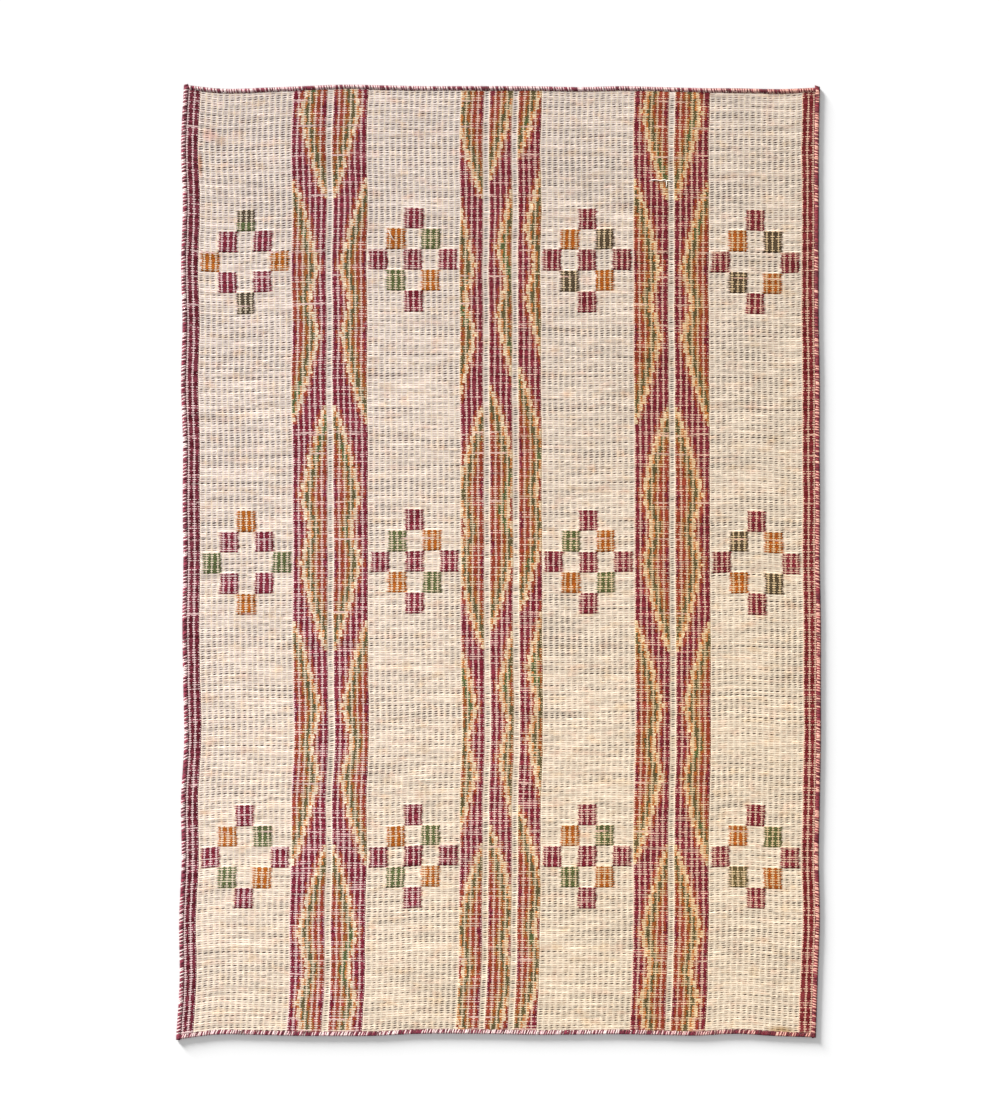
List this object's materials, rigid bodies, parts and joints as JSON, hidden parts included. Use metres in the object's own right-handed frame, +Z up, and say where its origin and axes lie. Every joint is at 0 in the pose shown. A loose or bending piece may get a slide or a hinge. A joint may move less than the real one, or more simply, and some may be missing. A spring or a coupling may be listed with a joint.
{
  "type": "jute rug",
  "caption": "Flat-woven rectangular jute rug with lengthwise pattern bands, small block rosettes and a whipped edging.",
  "frame": {"origin": "on the floor, under the middle of the rug's outline", "axes": "+X across the rug to its right side, +Y along it from the foot to the head, +Z up, out of the face of the cloth"},
  "size_m": [1.4154, 2.096, 0.006],
  "materials": {
    "jute_cloth": "coarse woven jute, cream ground with maroon, ochre, rust and green wefts",
    "edging_yarn": "thick twisted yarn in maroon and pinkish white"
  },
  "bodies": {
    "root": {"woven_field": "jute_cloth", "edging_left": "edging_yarn", "edging_right": "edging_yarn", "edging_head": "edging_yarn", "edging_foot": "edging_yarn"}
  },
  "joints": []
}
